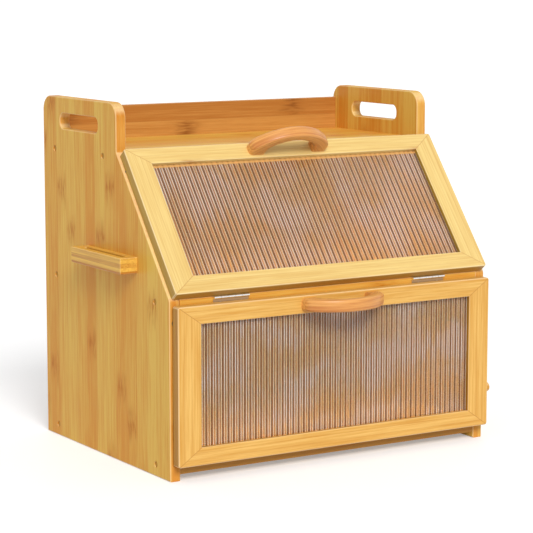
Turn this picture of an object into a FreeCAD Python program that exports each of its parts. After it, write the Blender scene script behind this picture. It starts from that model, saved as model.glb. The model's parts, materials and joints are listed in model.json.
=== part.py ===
# Bread box: two bamboo side panels carry three boards, a slanted glazed door above
# and a glazed drawer below, with a knife holder and a peg on the outside.
# Millimetres. X runs to the right, -Y is the front, Z is up from the surface it stands on.
# The origin is on that surface, under the middle of the whole thing, pulls included.
import FreeCAD
import Part
import math
import os

V = FreeCAD.Vector
X_AXIS = V(1, 0, 0)
Y_AXIS = V(0, 1, 0)
Z_AXIS = V(0, 0, 1)

# ---------------------------------------------------------------- driving dimensions

box_width = 419.0
box_depth = 300.0
box_height = 400.0
board = 12.7                    # thickness of the side panels and the three boards

# side panel outline
panel_top_depth = 182.0         # depth left at the top, behind the slope
slope_foot_height = 197.0       # where the slope begins, at the front edge
slope_head_height = 346.0       # where the slope ends, at the level of the top shelf
panel_corner = 17.0             # radius of the two top corners
slope_foot_radius = 9.0
slope_head_radius = 4.0
panel_edge = 1.6                # rounding along the panel's edges

# hand slot in each side panel
slot_length = 95.0
slot_height = 18.0
slot_corner = 8.0
slot_centre_height = 372.5
slot_edge = 1.4

# boards
foot_height = 7.0               # underside of the bottom board above the surface
bottom_board_setback = 1.5      # behind the panels' front edges
middle_shelf_top = 198.0
back_thickness = 5.0
back_inset = 1.0                # the back panel sits this far inside the panels' rear edges
back_top = 385.0                # it rises above the top shelf as a rail behind it
back_edge = 1.0
vent_hole = 8.0
vent_pitch = 26.0
vent_count = 5
vent_drop = 30.0                # each row of vent holes, below the underside of a shelf
back_screw_inset = 30.0         # the outer screws of the back, from the side panels

# screws through the side panels, and the plugs that cover them
side_screw_front = 32.0         # from the panel's front edge, or from the slope at the top
side_screw_rear = 30.0          # from the panel's rear edge
plug_diameter = 7.4
plug_length = 2.2
plug_recess = 1.3               # the plugs end this far below the panel's outer face

# glazed fronts: the door above and the drawer front below
front_thickness = 12.0
front_stile = 28.5
door_width = 413.0
door_length = 186.0
door_rail = 21.0
door_start = 0.5                # along the slope, from its foot to the door's lower end
door_gap = 0.4                  # between the slope and the back of the door
drawer_front_width = 413.6
drawer_front_height = 174.2
drawer_front_rail = 20.0
drawer_front_bottom = 17.3
drawer_front_gap = 2.0          # between the panels' front edges and the drawer front
front_corner = 3.0
front_edge = 1.8
front_back_edge = 0.8
window_edge = 0.8

# ribbed panes
pane_lip = 4.4                  # wood in front of the pane
pane_groove = 3.6
pane_groove_depth = 6.0
pane_play = 0.4                 # between the pane and the bottom of its groove
pane_sheet = 2.0
rib_height = 1.2
rib_count = 53

# bowed pulls
pull_length = 103.6
pull_rise = 35.5
pull_width = 14.0
pull_foot = 20.0                # along the rail, at each end
pull_thickness = 11.0           # at mid-length
pull_straight = 4.0             # upright stretch at each end, before the corner
pull_corner = 16.0              # radius of the outer corners
pull_inner_corner = 14.0
pull_edge = 3.8
pull_inner_edge = 3.0
pull_screw_spacing = 83.6

# hinges between the middle shelf and the door
hinge_left = -134.0             # middle of each hinge, from the middle of the box
hinge_right = 128.0
hinge_length = 44.0
hinge_leaf = 1.0
hinge_leaf_width = 9.6
hinge_barrel = 3.8
hinge_pin = 2.0
hinge_running_fit = 0.05        # radial, between the pin and the door's knuckles
hinge_forward = 2.2             # axis, ahead of the panels' front edges
hinge_height = 196.4
hinge_screw_spacing = 26.0
shelf_screw_drop = 6.2          # the shelf leaf's screws, below the axis
door_screw_rise = 5.6           # the door leaf's screws, up from the door's lower end
leaf_recess_play = 0.1
knuckle_relief = 0.6            # on the diameter, round the other leaf's knuckles
knuckle_gap = 0.3
knuckle_count = 5

# magnets in the panels' edges and steel plates in the fronts
catch_diameter = 7.0
magnet_length = 4.0
strike_thickness = 1.5
catch_proud = 0.9               # magnet and strike each stand this far into the drawer's gap
door_catch_along = 164.0        # along the slope from its foot
drawer_catch_height = 172.5

# drawer box
drawer_side = 9.0
drawer_side_play = 2.0          # each side, to the side panel
drawer_depth = 264.0            # from the back of the drawer front
drawer_floor_play = 0.5         # drawer sides above the bottom board
drawer_side_height = 115.0
drawer_bottom_thickness = 4.0
drawer_bottom_rise = 6.0        # underside of the drawer bottom above the sides' lower edges
drawer_groove_depth = 4.0
drawer_groove_play = 0.2
front_groove_depth = 3.5        # of the same groove, in the drawer front
drawer_bottom_play = 0.4        # between the drawer bottom and the bottom of its groove
drawer_box_edge = 1.0
dowel_diameter = 5.0
dowel_in_front = 6.5
dowel_in_side = 16.0
dowel_rises = (22.0, 75.5, 101.0)       # above the drawer sides' lower edges
back_joint_rises = (25.0, 95.0)
bottom_joint_spacing = 120.0

# runners on the side panels, and the pegs that stop the drawer
runner_length = 70.0
runner_height = 12.0
runner_reach = 6.5              # from the side panel into the drawer side's groove
runner_setback = 8.0            # behind the panels' front edges
runner_level = 76.0             # underside above the surface
runner_play = 0.4
runner_groove_depth = 5.0
runner_groove_lead = 3.0        # the groove starts this far ahead of the runner
runner_screw_inset = 15.0
stop_peg_diameter = 5.0
stop_peg_from_rear = 6.0
stop_peg_inset = 0.6            # its end, inside the drawer side's outer face

# knife holder on the left panel
holder_length = 118.0
holder_width = 21.0
holder_height = 17.5
holder_setback = 71.0           # behind the panels' front edges
holder_bottom = 218.0
knife_slot_length = 96.0
knife_slot_width = 6.0
holder_edge = 0.8
holder_screw_inset = 5.5

# peg on the right panel
peg_diameter = 11.0
peg_reach = 21.0                # as far out as the knife holder on the other side
peg_tenon_diameter = 7.0
peg_tenon = 9.0
peg_setback = 17.7              # behind the panels' front edges
peg_height = 54.8
peg_round = 0.8

# the cross recess of a screw, as shares of its head, and the end of its point
recess_reach = 0.3
recess_half_width = 0.055
recess_depth = 0.55
screw_point = 0.2

# screws: head diameter, head height, shank diameter, length under the head's face
SIDE_SCREW = (5.8, 2.4, 3.0, 30.0)
BACK_SCREW = (5.6, 2.0, 2.8, 18.0)
HINGE_SCREW = (3.6, 1.0, 1.8, 9.0)
PULL_SCREW = (7.0, 2.6, 3.4, 20.0)
HOLDER_SCREW = (7.0, 2.6, 3.4, 26.0)
RUNNER_SCREW = (4.6, 1.8, 2.4, 15.0)
DRAWER_SCREW = (5.2, 1.9, 2.6, 22.0)
DRAWER_BOTTOM_SCREW = (5.2, 1.9, 2.6, 15.0)

# ---------------------------------------------------------------- derived places

half_width = box_width / 2
inner_face = half_width - board
front_reach = drawer_front_gap + front_thickness + pull_rise
front = (front_reach - box_depth) / 2
rear = front + box_depth
slope_run = box_depth - panel_top_depth
slope_rise = slope_head_height - slope_foot_height
slope_length = math.hypot(slope_run, slope_rise)
slope_tilt = math.degrees(math.atan2(slope_rise, slope_run))
boards_end = rear - back_inset - back_thickness
top_shelf_bottom = slope_head_height - board
middle_shelf_bottom = middle_shelf_top - board
bottom_board_top = foot_height + board
catch_offset = half_width - board / 2
far = 1000.0

# ---------------------------------------------------------------- helpers


def block(x0, x1, y0, y1, z0, z1):
    """A box between two corners."""
    return Part.makeBox(x1 - x0, y1 - y0, z1 - z0, V(x0, y0, z0))


def rod(diameter, start, direction, length):
    """A round bar."""
    return Part.makeCylinder(diameter / 2, length, start, direction)


def group(solids):
    """Separate solids that share one node."""
    return Part.makeCompound(solids)


def prism(points, vector):
    """A straight prism over a closed outline."""
    wire = Part.makePolygon(points + [points[0]])
    return Part.Face(wire).extrude(vector)


def mirrored(shape):
    """The same thing on the other side of the box."""
    return shape.mirror(V(0, 0, 0), X_AXIS)


def round_edges(shape, radius, wanted):
    """Rounds the edges for which wanted(edge) is true."""
    return shape.makeFillet(radius, [e for e in shape.Edges if wanted(e)])


def edge_spans(edge, axis, low, high):
    """Whether the edge's box along one axis lies between low and high."""
    box = edge.BoundBox
    start = (box.XMin, box.YMin, box.ZMin)[axis]
    end = (box.XMax, box.YMax, box.ZMax)[axis]
    return start > low - 0.01 and end < high + 0.01


def screw(kind, at, direction):
    """A countersunk wood screw with a cross recess; at is the middle of its head's face."""
    head, head_height, shank, length = kind
    axis = V(direction)
    axis.normalize()
    body = Part.makeCone(head / 2, shank / 2, head_height, at, axis)
    straight = length - head_height - shank
    body = body.fuse(rod(shank, at + axis * head_height, axis, straight))
    tip = at + axis * (length - shank)
    body = body.fuse(Part.makeCone(shank / 2, screw_point, shank, tip, axis))
    side = Z_AXIS if abs(axis.z) < 0.5 else X_AXIS
    arm = axis.cross(side)
    for along, across in ((side, arm), (arm, side)):
        length_half = along * (head * recess_reach)
        width_half = across * (head * recess_half_width)
        corners = [at - length_half - width_half, at + length_half - width_half,
                   at + length_half + width_half, at - length_half + width_half]
        body = body.cut(prism(corners, axis * (head_height * recess_depth)))
    return body


def screw_hole(kind, at, direction):
    """The space that a screw fills, without its cross recess."""
    head, head_height, shank, length = kind
    axis = V(direction)
    axis.normalize()
    space = Part.makeCone(head / 2, shank / 2, head_height, at, axis)
    return space.fuse(rod(shank, at + axis * head_height, axis, length - head_height))


def drilled(shape, kind, places, direction):
    """The shape with holes for screws of one kind."""
    for at in places:
        shape = shape.cut(screw_hole(kind, at, direction))
    return shape


def slope_point(along, out, x=0.0):
    """A point by its distance up the slope and out from it."""
    turn = math.radians(slope_tilt)
    y = front + along * math.cos(turn) - out * math.sin(turn)
    z = slope_foot_height + along * math.sin(turn) + out * math.cos(turn)
    return V(x, y, z)


def on_slope(shape):
    """Moves a front from its own flat frame onto the slope, where the door lies."""
    moved = shape.copy()
    moved.rotate(V(0, 0, 0), X_AXIS, slope_tilt)
    moved.translate(slope_point(door_start, door_gap))
    return moved


def on_drawer(shape):
    """Moves a front from its own flat frame to the drawer's upright place."""
    moved = shape.copy()
    moved.rotate(V(0, 0, 0), X_AXIS, 90)
    moved.translate(V(0, front - drawer_front_gap, drawer_front_bottom))
    return moved


slope_out = slope_point(0, 1) - slope_point(0, 0)
slope_up = slope_point(1, 0) - slope_point(0, 0)
ahead_of_slope = prism([slope_point(-far, 0, -far), slope_point(far, 0, -far),
                        slope_point(far, far, -far), slope_point(-far, far, -far)],
                       X_AXIS * (2 * far))

# ---------------------------------------------------------------- screw places

side_screw_rows = [
    (front + side_screw_front, foot_height + board / 2),
    (rear - side_screw_rear, foot_height + board / 2),
    (front + side_screw_front, middle_shelf_bottom + board / 2),
    (rear - side_screw_rear, middle_shelf_bottom + board / 2),
    (front + slope_run + side_screw_front, top_shelf_bottom + board / 2),
    (rear - side_screw_rear, top_shelf_bottom + board / 2),
]
screw_face = half_width - plug_recess - plug_length
side_screw_places = [V(screw_face, y, z) for y, z in side_screw_rows]
back_screw_places = [V(x, rear - back_inset, z)
                     for z in (foot_height + board / 2, middle_shelf_bottom + board / 2,
                               top_shelf_bottom + board / 2)
                     for x in (-inner_face + back_screw_inset, 0, inner_face - back_screw_inset)]
holder_screw_rows = (front + holder_setback + holder_screw_inset,
                     front + holder_setback + holder_length - holder_screw_inset)
holder_screw_places = [V(-inner_face, y, holder_bottom + holder_height / 2)
                       for y in holder_screw_rows]
runner_screw_places = [V(inner_face - runner_reach, front + runner_setback + step,
                         runner_level + runner_height / 2)
                       for step in (runner_screw_inset, runner_length - runner_screw_inset)]

# ---------------------------------------------------------------- carcass


def panel_outline():
    """The side panel's outline as a face in the YZ plane."""
    corners = [
        (front, 0, 0), (rear, 0, 0), (rear, box_height, panel_corner),
        (front + slope_run, box_height, panel_corner),
        (front + slope_run, slope_head_height, slope_head_radius),
        (front, slope_foot_height, slope_foot_radius),
    ]
    edges = []
    ends = []
    count = len(corners)
    for i, (y, z, radius) in enumerate(corners):
        here = V(0, y, z)
        before = V(0, corners[i - 1][0], corners[i - 1][1]) - here
        after = V(0, corners[(i + 1) % count][0], corners[(i + 1) % count][1]) - here
        before.normalize()
        after.normalize()
        if radius == 0:
            ends.append((here, here))
            continue
        half_angle = before.getAngle(after) / 2
        run = radius / math.tan(half_angle)
        middle_way = before + after
        middle_way.normalize()
        centre = here + middle_way * (radius / math.sin(half_angle))
        start = here + before * run
        end = here + after * run
        edges.append(Part.Arc(start, centre - middle_way * radius, end).toShape())
        ends.append((start, end))
    for i in range(count):
        edges.append(Part.makeLine(ends[i][1], ends[(i + 1) % count][0]))
    return Part.Face(Part.Wire(Part.__sortEdges__(edges)))


def rounded_bar(length, height, radius, thickness):
    """A bar with rounded corners, centred, its thickness along X from zero."""
    bar = block(0, thickness, -length / 2, length / 2, -height / 2, height / 2)
    along_x = [e for e in bar.Edges if abs(e.tangentAt(e.FirstParameter).x) > 0.9]
    return bar.makeFillet(radius, along_x)


def side_panel():
    """The right-hand side panel, before the holes that only one side has."""
    panel = panel_outline()
    panel.translate(V(inner_face, 0, 0))
    panel = panel.extrude(X_AXIS * board)

    def on_a_face(edge):
        flat = edge_spans(edge, 0, inner_face, inner_face)
        return flat or edge_spans(edge, 0, half_width, half_width)

    panel = round_edges(panel, panel_edge, on_a_face)
    slot = rounded_bar(slot_length, slot_height, slot_corner, board)
    slot.translate(V(inner_face, rear - panel_top_depth / 2, slot_centre_height))
    panel = panel.cut(slot)
    slot_box = slot.BoundBox

    def around_slot(edge):
        in_depth = edge_spans(edge, 1, slot_box.YMin, slot_box.YMax)
        in_height = edge_spans(edge, 2, slot_box.ZMin, slot_box.ZMax)
        return in_depth and in_height and on_a_face(edge)

    panel = round_edges(panel, slot_edge, around_slot)
    for at in side_screw_places:
        panel = panel.cut(rod(plug_diameter, at, X_AXIS, board))
    panel = drilled(panel, SIDE_SCREW, side_screw_places, -X_AXIS)
    panel = panel.cut(magnet_at_slope(catch_offset))
    panel = panel.cut(magnet_at_front(catch_offset))
    return drilled(panel, RUNNER_SCREW, runner_screw_places, X_AXIS)


def magnet_at_slope(x):
    """A disc magnet let into the slanted edge of a side panel."""
    return rod(catch_diameter, slope_point(door_catch_along, -magnet_length, x),
               slope_out, magnet_length)


def magnet_at_front(x):
    """A disc magnet in the upright front edge of a side panel, a little proud of it."""
    start = V(x, front - catch_proud, drawer_catch_height)
    return rod(catch_diameter, start, Y_AXIS, magnet_length)


def horizontal_board(y_front, z_bottom):
    """A board between the side panels, drilled for the screws that hold it."""
    shape = block(-inner_face, inner_face, y_front, boards_end, z_bottom, z_bottom + board)
    centre = z_bottom + board / 2
    right = [at for at in side_screw_places if abs(at.z - centre) < 1]
    left = [V(-at.x, at.y, at.z) for at in right]
    behind = [at for at in back_screw_places if abs(at.z - centre) < 1]
    shape = drilled(shape, SIDE_SCREW, right, -X_AXIS)
    shape = drilled(shape, SIDE_SCREW, left, X_AXIS)
    return drilled(shape, BACK_SCREW, behind, -Y_AXIS)


def make_carcass(parts):
    """Panels, boards and back, with the screws, plugs and magnets in them."""
    panel = side_panel()
    parts["right_side_panel"] = panel.cut(peg())
    parts["left_side_panel"] = drilled(mirrored(panel), HOLDER_SCREW, holder_screw_places, -X_AXIS)
    top = horizontal_board(front, top_shelf_bottom)
    parts["top_shelf"] = top.cut(ahead_of_slope)
    middle = horizontal_board(front, middle_shelf_bottom).cut(ahead_of_slope)
    parts["middle_shelf"] = middle.cut(group(hinge_screw_holes(fixed_screw_places())))
    parts["bottom_board"] = horizontal_board(front + bottom_board_setback, foot_height)

    back = block(-inner_face, inner_face, boards_end, rear - back_inset, foot_height, back_top)
    back = round_edges(back, back_edge, lambda e: edge_spans(e, 2, back_top, back_top)
                       and e.Length > inner_face)
    back = drilled(back, BACK_SCREW, back_screw_places, -Y_AXIS)
    for level in (top_shelf_bottom - vent_drop, middle_shelf_bottom - vent_drop):
        for i in range(vent_count):
            x = (i - (vent_count - 1) / 2) * vent_pitch
            back = back.cut(rod(vent_hole, V(x, boards_end - 1, level), Y_AXIS, 10))
    parts["back_panel"] = back
    parts["back_panel_screws"] = group([screw(BACK_SCREW, at, -Y_AXIS)
                                        for at in back_screw_places])

    right_screws = [screw(SIDE_SCREW, at, -X_AXIS) for at in side_screw_places]
    right_plugs = [rod(plug_diameter, at, X_AXIS, plug_length) for at in side_screw_places]
    parts["side_panel_screws"] = group(right_screws + [mirrored(s) for s in right_screws])
    parts["screw_plugs"] = group(right_plugs + [mirrored(s) for s in right_plugs])
    parts["door_magnets"] = group([magnet_at_slope(x) for x in (-catch_offset, catch_offset)])
    parts["drawer_magnets"] = group([magnet_at_front(x) for x in (-catch_offset, catch_offset)])


# ---------------------------------------------------------------- what the panels carry


def peg():
    """The turned peg on the right panel, with the tenon that is glued into the panel."""
    start = V(half_width, front + peg_setback, peg_height)
    pin = rod(peg_diameter, start, X_AXIS, peg_reach)
    pin = round_edges(pin, peg_round,
                      lambda e: edge_spans(e, 0, half_width + peg_reach, half_width + peg_reach))
    return pin.fuse(rod(peg_tenon_diameter, start - X_AXIS * peg_tenon, X_AXIS, peg_tenon))


def knife_holder():
    """The slotted bar on the left panel."""
    y0 = front + holder_setback
    bar = block(-half_width - holder_width, -half_width, y0, y0 + holder_length,
                holder_bottom, holder_bottom + holder_height)
    bar = round_edges(bar, holder_edge, lambda e: not edge_spans(e, 0, -half_width, -half_width))
    cutter = block(-knife_slot_width / 2, knife_slot_width / 2,
                   -knife_slot_length / 2, knife_slot_length / 2, 0, far)
    cutter = cutter.makeFillet(knife_slot_width / 2 - 0.05,
                               [e for e in cutter.Edges if e.Length > far / 2])
    cutter.translate(V(-half_width - holder_width / 2, y0 + holder_length / 2, 0))
    bar = bar.cut(cutter)
    return drilled(bar, HOLDER_SCREW, holder_screw_places, -X_AXIS)


def runner():
    """The short wooden runner on the right panel that keeps the drawer from tipping."""
    y0 = front + runner_setback
    strip = block(inner_face - runner_reach, inner_face, y0, y0 + runner_length,
                  runner_level, runner_level + runner_height)
    return drilled(strip, RUNNER_SCREW, runner_screw_places, X_AXIS)


def make_fittings(parts):
    """The holder, the peg and the runners, with their screws."""
    parts["knife_holder"] = knife_holder()
    parts["knife_holder_screws"] = group([screw(HOLDER_SCREW, at, -X_AXIS)
                                          for at in holder_screw_places])
    parts["side_peg"] = peg()
    parts["right_drawer_runner"] = runner()
    parts["left_drawer_runner"] = mirrored(runner())
    right_screws = [screw(RUNNER_SCREW, at, X_AXIS) for at in runner_screw_places]
    parts["runner_screws"] = group(right_screws + [mirrored(s) for s in right_screws])


# ---------------------------------------------------------------- glazed fronts


def pane(width, height, rail):
    """A clear sheet with upright ribs on its front, as large as its grooves allow."""
    reach = pane_groove_depth - pane_play
    w = width - 2 * front_stile + 2 * reach
    y0 = rail - reach
    y1 = height - rail + reach
    back = front_thickness - pane_lip - pane_groove + pane_play / 2
    valley = back + pane_sheet
    pitch = w / rib_count
    edges = [Part.makeLine(V(w / 2, y0, valley), V(w / 2, y0, back)),
             Part.makeLine(V(w / 2, y0, back), V(-w / 2, y0, back)),
             Part.makeLine(V(-w / 2, y0, back), V(-w / 2, y0, valley))]
    for i in range(rib_count):
        x = -w / 2 + i * pitch
        edges.append(Part.Arc(V(x, y0, valley), V(x + pitch / 2, y0, valley + rib_height),
                              V(x + pitch, y0, valley)).toShape())
    face = Part.Face(Part.Wire(Part.__sortEdges__(edges)))
    return face.extrude(Y_AXIS * (y1 - y0))


def frame_ring(width, height, rail):
    """The whole frame before it is split at the mitres, with the groove for its pane."""
    half = width / 2
    ring = block(-half, half, 0, height, 0, front_thickness)
    ring = ring.makeFillet(front_corner, [e for e in ring.Edges
                                          if abs(e.tangentAt(e.FirstParameter).z) > 0.9])
    ring = round_edges(ring, front_edge,
                       lambda e: edge_spans(e, 2, front_thickness, front_thickness))
    ring = round_edges(ring, front_back_edge, lambda e: edge_spans(e, 2, 0, 0))
    inner = half - front_stile
    ring = ring.cut(block(-inner, inner, rail, height - rail, -1, front_thickness + 1))
    deep = pane_groove_depth
    groove_back = front_thickness - pane_lip - pane_groove
    return ring.cut(block(-inner - deep, inner + deep, rail - deep, height - rail + deep,
                          groove_back, groove_back + pane_groove))


def mitre_wedge(outer_a, inner_a, outer_b, inner_b):
    """The region of one stick, between the mitre lines through its two corners."""
    over = 0.15
    points = []
    for outer, inner in ((outer_a, inner_a), (outer_b, inner_b)):
        way = outer - inner
        points.append((outer + way * over, inner - way * over))
    outline = [points[0][0], points[1][0], points[1][1], points[0][1]]
    return prism([p - Z_AXIS for p in outline], Z_AXIS * (front_thickness + 2))


def framed_front(width, height, rail):
    """Four mitred sticks and a pane, lying flat: X across, Y up the front, Z outwards."""
    ring = frame_ring(width, height, rail)
    half = width / 2
    inner = half - front_stile
    outer_corners = [V(-half, 0, 0), V(half, 0, 0), V(half, height, 0), V(-half, height, 0)]
    inner_corners = [V(-inner, rail, 0), V(inner, rail, 0),
                     V(inner, height - rail, 0), V(-inner, height - rail, 0)]

    def along_window(edge):
        inside = edge_spans(edge, 0, -inner, inner) and edge_spans(edge, 1, rail, height - rail)
        return inside and edge_spans(edge, 2, front_thickness, front_thickness)

    sticks = {}
    for i, name in enumerate(("bottom_rail", "right_stile", "top_rail", "left_stile")):
        j = (i + 1) % 4
        wedge = mitre_wedge(outer_corners[i], inner_corners[i], outer_corners[j], inner_corners[j])
        sticks[name] = round_edges(ring.common(wedge), window_edge, along_window)
    return sticks, pane(width, height, rail)


def arch(half_span, rise, straight, corner):
    """The upper line of a low arch from left foot to right foot, as edges in the XZ plane."""
    crown = rise - straight
    reach = half_span - corner
    drop = (reach ** 2 - (crown - corner) ** 2) / (2 * (crown - corner))
    radius = crown + drop
    way = V(reach, 0, drop)
    way.normalize()
    corner_centre = V(reach, 0, straight)
    meet = corner_centre + way * corner
    half_way = V(1, 0, 0) + way
    half_way.normalize()
    bend = corner_centre + half_way * corner
    top = V(0, 0, rise)

    def left(point):
        return V(-point.x, 0, point.z)

    over = math.asin(meet.x / radius) / 2
    shoulder = V(radius * math.sin(over), 0, straight - drop + radius * math.cos(over))
    foot = V(half_span, 0, 0)
    spring = V(half_span, 0, straight)
    return [Part.makeLine(left(foot), left(spring)),
            Part.Arc(left(spring), left(bend), left(meet)).toShape(),
            Part.Arc(left(meet), left(shoulder), top).toShape(),
            Part.Arc(top, shoulder, meet).toShape(),
            Part.Arc(meet, bend, spring).toShape(),
            Part.makeLine(spring, foot)]


def pull(rail_centre):
    """A bowed pull standing on the front of a rail, in the front's own flat frame."""
    half = pull_length / 2
    inner_half = half - pull_foot
    outer = arch(half, pull_rise, pull_straight, pull_corner)
    inner = arch(inner_half, pull_rise - pull_thickness, pull_straight, pull_inner_corner)
    feet = [Part.makeLine(V(s * inner_half, 0, 0), V(s * half, 0, 0)) for s in (-1, 1)]
    face = Part.Face(Part.Wire(Part.__sortEdges__(outer + inner + feet)))
    bow = face.extrude(Y_AXIS * pull_width)

    def outer_line(edge):
        box = edge.BoundBox
        flat = box.YLength < 0.01 and box.ZMax > 0.1
        beyond = max(abs(box.XMin), abs(box.XMax)) > inner_half + 0.1
        return flat and (beyond or box.ZMax > pull_rise - pull_thickness + 0.1)

    def inner_line(edge):
        box = edge.BoundBox
        return box.YLength < 0.01 and box.ZMax > 0.1 and not outer_line(edge)

    inner_edges = [e for e in bow.Edges if inner_line(e)]
    bow = bow.makeFillet(pull_inner_edge, inner_edges)
    bow = round_edges(bow, pull_edge, outer_line)
    bow.translate(V(0, rail_centre - pull_width / 2, front_thickness))
    return bow


def pull_screw_places(rail_centre):
    """Where the pull's screws start, on the back of the rail."""
    half = pull_screw_spacing / 2
    return [V(x, rail_centre, 0) for x in (-half, half)]


def make_front(parts, prefix, width, height, rail, place):
    """The frame, pane, pull and its screws of one front."""
    sticks, glass = framed_front(width, height, rail)
    rail_centre = height - rail / 2
    places = pull_screw_places(rail_centre)
    sticks["top_rail"] = drilled(sticks["top_rail"], PULL_SCREW, places, Z_AXIS)
    bow = drilled(pull(rail_centre), PULL_SCREW, places, Z_AXIS)
    for name, stick in sticks.items():
        parts[prefix + "_" + name] = place(stick)
    parts[prefix + "_window"] = place(glass)
    parts[prefix + "_handle"] = place(bow)
    parts[prefix + "_handle_screws"] = place(group([screw(PULL_SCREW, at, Z_AXIS)
                                                    for at in places]))


# ---------------------------------------------------------------- hinges

hinge_axis = V(0, front - hinge_forward, hinge_height)
hinge_sides = {"left": hinge_left, "right": hinge_right}
hinge_screw_steps = (-hinge_screw_spacing / 2, hinge_screw_spacing / 2)


def knuckles(centre, own, extra=0.0):
    """The barrel's knuckles of one leaf: own is 0 for the shelf's and 1 for the door's."""
    step = hinge_length / knuckle_count
    rings = []
    for i in range(own, knuckle_count, 2):
        start = centre - hinge_length / 2 + i * step + (knuckle_gap / 2 if i else 0)
        end = centre - hinge_length / 2 + (i + 1) * step
        end -= knuckle_gap / 2 if i < knuckle_count - 1 else 0
        rings.append(rod(hinge_barrel + extra, V(start - extra / 4, hinge_axis.y, hinge_axis.z),
                         X_AXIS, end - start + extra / 2))
    return rings


def fixed_screw_places():
    """Screws of the leaves on the middle shelf's front edge."""
    return [V(centre + step, front - hinge_leaf, hinge_height - shelf_screw_drop)
            for centre in hinge_sides.values() for step in hinge_screw_steps]


def door_screw_places():
    """Screws of the leaves let into the back of the door."""
    return [slope_point(door_start + door_screw_rise, door_gap, centre + step)
            for centre in hinge_sides.values() for step in hinge_screw_steps]


def hinge_screw_holes(places, direction=Y_AXIS):
    """The spaces of hinge screws."""
    return [screw_hole(HINGE_SCREW, at, direction) for at in places]


def fixed_leaf(centre):
    """The leaf on the middle shelf, tight on its pin."""
    plate = block(centre - hinge_length / 2, centre + hinge_length / 2,
                  front - hinge_leaf, front, hinge_height - hinge_leaf_width, hinge_height)
    for ring in knuckles(centre, 1, knuckle_relief):
        plate = plate.cut(ring)
    for ring in knuckles(centre, 0):
        plate = plate.fuse(ring)
    plate = plate.removeSplitter().cut(hinge_bore(centre, 0))
    return plate.cut(group(hinge_screw_holes(fixed_screw_places())))


def door_leaf_plate(centre, grow=0.0):
    """The flat part of the door's leaf, from the hinge axis up the back of the door."""
    x0 = centre - hinge_length / 2 - grow
    x1 = centre + hinge_length / 2 + grow
    foot = (hinge_axis - slope_point(0, 0)).dot(slope_up)
    corners = [slope_point(foot, door_gap, x0), slope_point(foot, door_gap + hinge_leaf, x0),
               slope_point(door_start + hinge_leaf_width + grow, door_gap + hinge_leaf, x0),
               slope_point(door_start + hinge_leaf_width + grow, door_gap, x0)]
    return prism(corners, X_AXIS * (x1 - x0))


def door_leaf(centre):
    """The leaf on the door, which turns on the pin."""
    plate = door_leaf_plate(centre)
    for ring in knuckles(centre, 0, knuckle_relief):
        plate = plate.cut(ring)
    for ring in knuckles(centre, 1):
        plate = plate.fuse(ring)
    plate = plate.removeSplitter().cut(hinge_bore(centre, hinge_running_fit))
    return plate.cut(group(hinge_screw_holes(door_screw_places(), slope_out)))


def hinge_bore(centre, clearance):
    """The space for the pin through the whole barrel."""
    start = V(centre - hinge_length / 2 - 1, hinge_axis.y, hinge_axis.z)
    return rod(hinge_pin + 2 * clearance, start, X_AXIS, hinge_length + 2)


def make_hinges(parts):
    """Two butt hinges: a leaf on the shelf, a leaf on the door, a pin and the screws."""
    for side, centre in hinge_sides.items():
        start = V(centre - hinge_length / 2, hinge_axis.y, hinge_axis.z)
        parts[side + "_hinge_fixed_leaf"] = fixed_leaf(centre)
        parts[side + "_hinge_door_leaf"] = door_leaf(centre)
        parts[side + "_hinge_pin"] = rod(hinge_pin, start, X_AXIS, hinge_length)
    parts["hinge_shelf_screws"] = group([screw(HINGE_SCREW, at, Y_AXIS)
                                         for at in fixed_screw_places()])
    parts["hinge_door_screws"] = group([screw(HINGE_SCREW, at, slope_out)
                                        for at in door_screw_places()])


# ---------------------------------------------------------------- door


def door_strike(x):
    """A steel disc flush with the back of the door, opposite a magnet."""
    return rod(catch_diameter, slope_point(door_catch_along, door_gap, x),
               slope_out, strike_thickness)


def make_door(parts):
    """The slanted door, with its strikes and the recesses for its hinge leaves."""
    make_front(parts, "door", door_width, door_length, door_rail, on_slope)
    recess = group([door_leaf_plate(centre, leaf_recess_play) for centre in hinge_sides.values()])
    holes = group(hinge_screw_holes(door_screw_places(), slope_out))
    parts["door_bottom_rail"] = parts["door_bottom_rail"].cut(recess).cut(holes)
    parts["door_strikes"] = group([door_strike(x) for x in (-catch_offset, catch_offset)])
    for side, x in (("left", -catch_offset), ("right", catch_offset)):
        name = "door_" + side + "_stile"
        parts[name] = parts[name].cut(door_strike(x))


# ---------------------------------------------------------------- drawer

drawer_back_of_front = front - drawer_front_gap
drawer_outer = inner_face - drawer_side_play
drawer_inner = drawer_outer - drawer_side
drawer_bottom_edge = bottom_board_top + drawer_floor_play
drawer_top_edge = drawer_bottom_edge + drawer_side_height
drawer_rear = drawer_back_of_front + drawer_depth
drawer_bottom_level = drawer_bottom_edge + drawer_bottom_rise
dowel_places = [V(drawer_outer - drawer_side / 2, drawer_back_of_front - dowel_in_front,
                  drawer_bottom_edge + rise) for rise in dowel_rises]
back_joint_places = [V(drawer_outer, drawer_rear - drawer_side / 2, drawer_bottom_edge + rise)
                     for rise in back_joint_rises]
bottom_joint_places = [V(x, drawer_rear - drawer_side / 2, drawer_bottom_level)
                       for x in (-bottom_joint_spacing, 0, bottom_joint_spacing)]


def drawer_dowel(at):
    """A dowel between the drawer front and a drawer side."""
    return rod(dowel_diameter, at, Y_AXIS, dowel_in_front + dowel_in_side)


def drawer_groove():
    """The space of the groove that holds the drawer bottom, on all sides of it."""
    reach = drawer_inner + drawer_groove_depth
    return block(-reach, reach, drawer_back_of_front - front_groove_depth, rear,
                 drawer_bottom_level - drawer_groove_play / 2,
                 drawer_bottom_level + drawer_bottom_thickness + drawer_groove_play / 2)


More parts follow.
